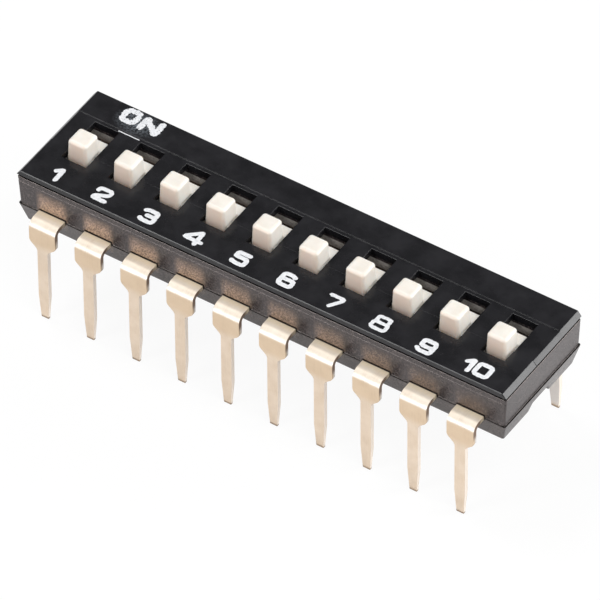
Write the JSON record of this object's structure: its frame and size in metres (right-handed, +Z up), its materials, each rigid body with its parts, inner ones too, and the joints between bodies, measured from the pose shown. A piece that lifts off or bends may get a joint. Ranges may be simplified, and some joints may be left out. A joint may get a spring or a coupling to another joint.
{
  "type": "dip switch",
  "caption": "Slide-type DIP switch: slotted black cover on a moulded base, ivory sliders that travel from off to ON, and two rows of formed gold through-hole legs.",
  "frame": {"origin": "middle of the leg pattern at the board surface, where the shoulders taper into the legs", "axes": "+X along the row from position 1 to position 10, +Y towards the ON side, +Z up away from the board"},
  "size_m": [0.0266, 0.0082, 0.0087],
  "materials": {
    "cover_plastic": "satin black moulded plastic with white printed numerals",
    "base_plastic": "fine moulded texture, dark warm grey",
    "slider_plastic": "smooth ivory moulded plastic",
    "terminal_metal": "pale gold plating, bright along the bends",
    "contact_metal": "gold-plated spring strip"
  },
  "bodies": {
    "housing": {"base": "base_plastic", "cover": "cover_plastic", "front_terminal_1": "terminal_metal", "front_terminal_2": "terminal_metal", "front_terminal_3": "terminal_metal", "front_terminal_4": "terminal_metal", "front_terminal_5": "terminal_metal", "front_terminal_6": "terminal_metal", "front_terminal_7": "terminal_metal", "front_terminal_8": "terminal_metal", "front_terminal_9": "terminal_metal", "front_terminal_10": "terminal_metal", "rear_terminal_1": "terminal_metal", "rear_terminal_2": "terminal_metal", "rear_terminal_3": "terminal_metal", "rear_terminal_4": "terminal_metal", "rear_terminal_5": "terminal_metal", "rear_terminal_6": "terminal_metal", "rear_terminal_7": "terminal_metal", "rear_terminal_8": "terminal_metal", "rear_terminal_9": "terminal_metal", "rear_terminal_10": "terminal_metal"},
    "actuator_1": {"slider_1": "slider_plastic", "contact_bridge_1": "contact_metal"},
    "actuator_2": {"slider_2": "slider_plastic", "contact_bridge_2": "contact_metal"},
    "actuator_3": {"slider_3": "slider_plastic", "contact_bridge_3": "contact_metal"},
    "actuator_4": {"slider_4": "slider_plastic", "contact_bridge_4": "contact_metal"},
    "actuator_5": {"slider_5": "slider_plastic", "contact_bridge_5": "contact_metal"},
    "actuator_6": {"slider_6": "slider_plastic", "contact_bridge_6": "contact_metal"},
    "actuator_7": {"slider_7": "slider_plastic", "contact_bridge_7": "contact_metal"},
    "actuator_8": {"slider_8": "slider_plastic", "contact_bridge_8": "contact_metal"},
    "actuator_9": {"slider_9": "slider_plastic", "contact_bridge_9": "contact_metal"},
    "actuator_10": {"slider_10": "slider_plastic", "contact_bridge_10": "contact_metal"}
  },
  "joints": [
    {"name": "actuator_1_slide", "type": "slide", "parent": "housing", "child": "actuator_1", "axis": [0, 1, 0], "range_m": [0, 0.00074]},
    {"name": "actuator_2_slide", "type": "slide", "parent": "housing", "child": "actuator_2", "axis": [0, 1, 0], "range_m": [0, 0.00074]},
    {"name": "actuator_3_slide", "type": "slide", "parent": "housing", "child": "actuator_3", "axis": [0, 1, 0], "range_m": [0, 0.00074]},
    {"name": "actuator_4_slide", "type": "slide", "parent": "housing", "child": "actuator_4", "axis": [0, 1, 0], "range_m": [0, 0.00074]},
    {"name": "actuator_5_slide", "type": "slide", "parent": "housing", "child": "actuator_5", "axis": [0, 1, 0], "range_m": [0, 0.00074]},
    {"name": "actuator_6_slide", "type": "slide", "parent": "housing", "child": "actuator_6", "axis": [0, 1, 0], "range_m": [0, 0.00074]},
    {"name": "actuator_7_slide", "type": "slide", "parent": "housing", "child": "actuator_7", "axis": [0, 1, 0], "range_m": [0, 0.00074]},
    {"name": "actuator_8_slide", "type": "slide", "parent": "housing", "child": "actuator_8", "axis": [0, 1, 0], "range_m": [0, 0.00074]},
    {"name": "actuator_9_slide", "type": "slide", "parent": "housing", "child": "actuator_9", "axis": [0, 1, 0], "range_m": [0, 0.00074]},
    {"name": "actuator_10_slide", "type": "slide", "parent": "housing", "child": "actuator_10", "axis": [0, 1, 0], "range_m": [0, 0.00074]}
  ]
}
